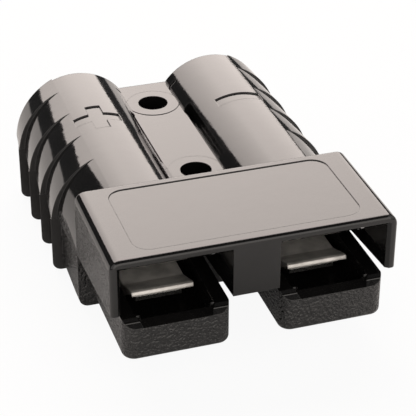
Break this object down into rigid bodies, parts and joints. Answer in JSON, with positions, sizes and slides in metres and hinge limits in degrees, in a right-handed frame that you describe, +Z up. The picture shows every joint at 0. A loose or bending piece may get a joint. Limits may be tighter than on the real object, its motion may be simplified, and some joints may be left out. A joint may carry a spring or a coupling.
{
  "type": "genderless power connector",
  "caption": "Flat genderless power connector with a hooded mating end over open trays with sprung contact blades, ribbed cable tubes and a web with mounting holes.",
  "frame": {"origin": "centre of the part's footprint on the plane that the lower half rests on", "axes": "+X across the poles from the plus side to the minus side, +Y from the mating end to the cable end, +Z up"},
  "size_m": [0.0364, 0.0478, 0.0159],
  "materials": {
    "housing": "black moulded plastic, glossy on top and finely pebbled on the lower sides",
    "contact": "silver-plated copper, satin",
    "spring": "bright rolled stainless strip"
  },
  "bodies": {
    "root": {"housing": "housing", "positive_contact": "contact", "negative_contact": "contact", "positive_spring": "spring", "negative_spring": "spring"}
  },
  "joints": []
}
